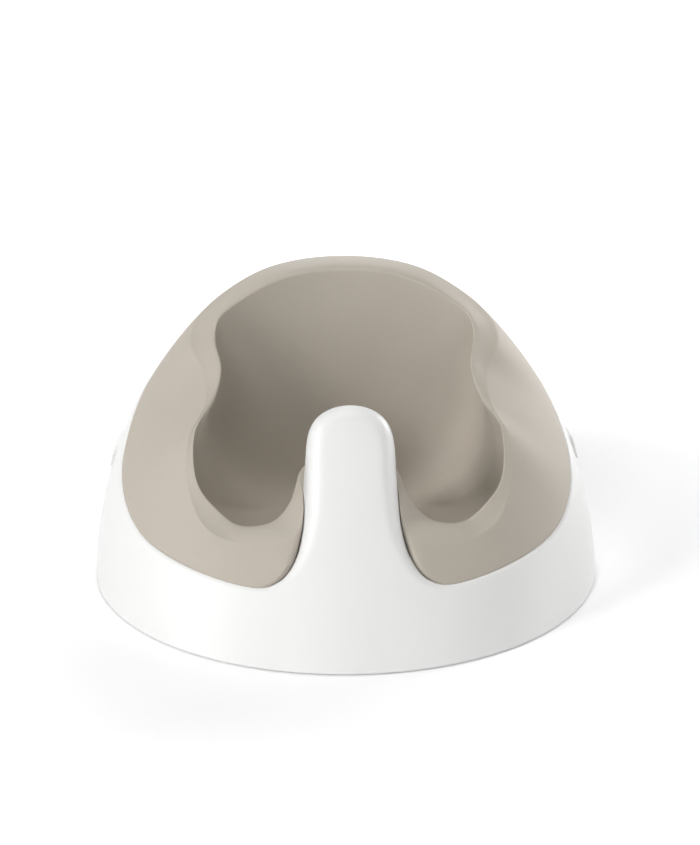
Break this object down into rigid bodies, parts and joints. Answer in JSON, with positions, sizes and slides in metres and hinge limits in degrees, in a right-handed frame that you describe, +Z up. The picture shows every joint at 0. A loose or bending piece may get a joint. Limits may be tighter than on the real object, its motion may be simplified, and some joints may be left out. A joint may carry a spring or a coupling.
{
  "type": "baby floor seat",
  "caption": "Moulded floor seat for a baby: a flared plastic base with a pommel between the legs, and a soft foam insert with a high back and leg openings.",
  "frame": {"origin": "middle of the footprint, on the floor that the feet stand on", "axes": "+Z up, -Y towards the front, where the legs and the pommel are, +X to the right as seen from the back"},
  "size_m": [0.4208, 0.384, 0.2425],
  "materials": {
    "shell": "satin moulded polypropylene",
    "plate": "satin moulded polypropylene",
    "screw": "zinc plated",
    "foot": "matte rubber",
    "foam": "self-skinned polyurethane foam with a fine leather-like grain",
    "peg": "satin moulded plastic"
  },
  "bodies": {
    "base": {"base_shell": "shell", "base_plate": "plate", "plate_screws": "screw", "foot_front_left": "foot", "foot_front_right": "foot", "foot_rear_left": "foot", "foot_rear_right": "foot", "tray_socket_left": "shell", "tray_socket_right": "shell"},
    "insert": {"seat_insert": "foam", "insert_peg_left": "peg", "insert_peg_right": "peg"}
  },
  "joints": [
    {"name": "insert_lift", "type": "slide", "parent": "base", "child": "insert", "axis": [0, 0, 1], "range_m": [0, 0.16]}
  ]
}
